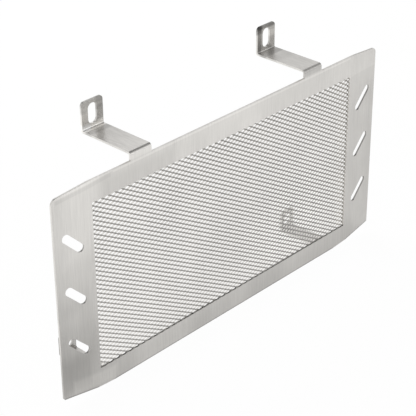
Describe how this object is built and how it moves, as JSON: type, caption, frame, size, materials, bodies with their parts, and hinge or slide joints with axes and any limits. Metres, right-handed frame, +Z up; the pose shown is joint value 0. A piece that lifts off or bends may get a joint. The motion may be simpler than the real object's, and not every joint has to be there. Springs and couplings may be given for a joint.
{
  "type": "motorcycle radiator guard",
  "caption": "Flat stainless guard for a motorcycle radiator: diamond mesh in a folded sheet frame, slotted side wings and offset tabs with slotted ears above and below.",
  "frame": {"origin": "centre of the guard's length and depth, at the underside of the lower tabs, which it stands on", "axes": "+X along the guard to its right-hand end seen from the front, +Y back towards the radiator, +Z up"},
  "size_m": [0.3502, 0.0528, 0.2016],
  "materials": {
    "stainless_sheet": "brushed, grain up and down",
    "stainless_mesh": "bright as cut"
  },
  "bodies": {
    "root": {"guard_frame": "stainless_sheet", "mesh_panel": "stainless_mesh"}
  },
  "joints": []
}
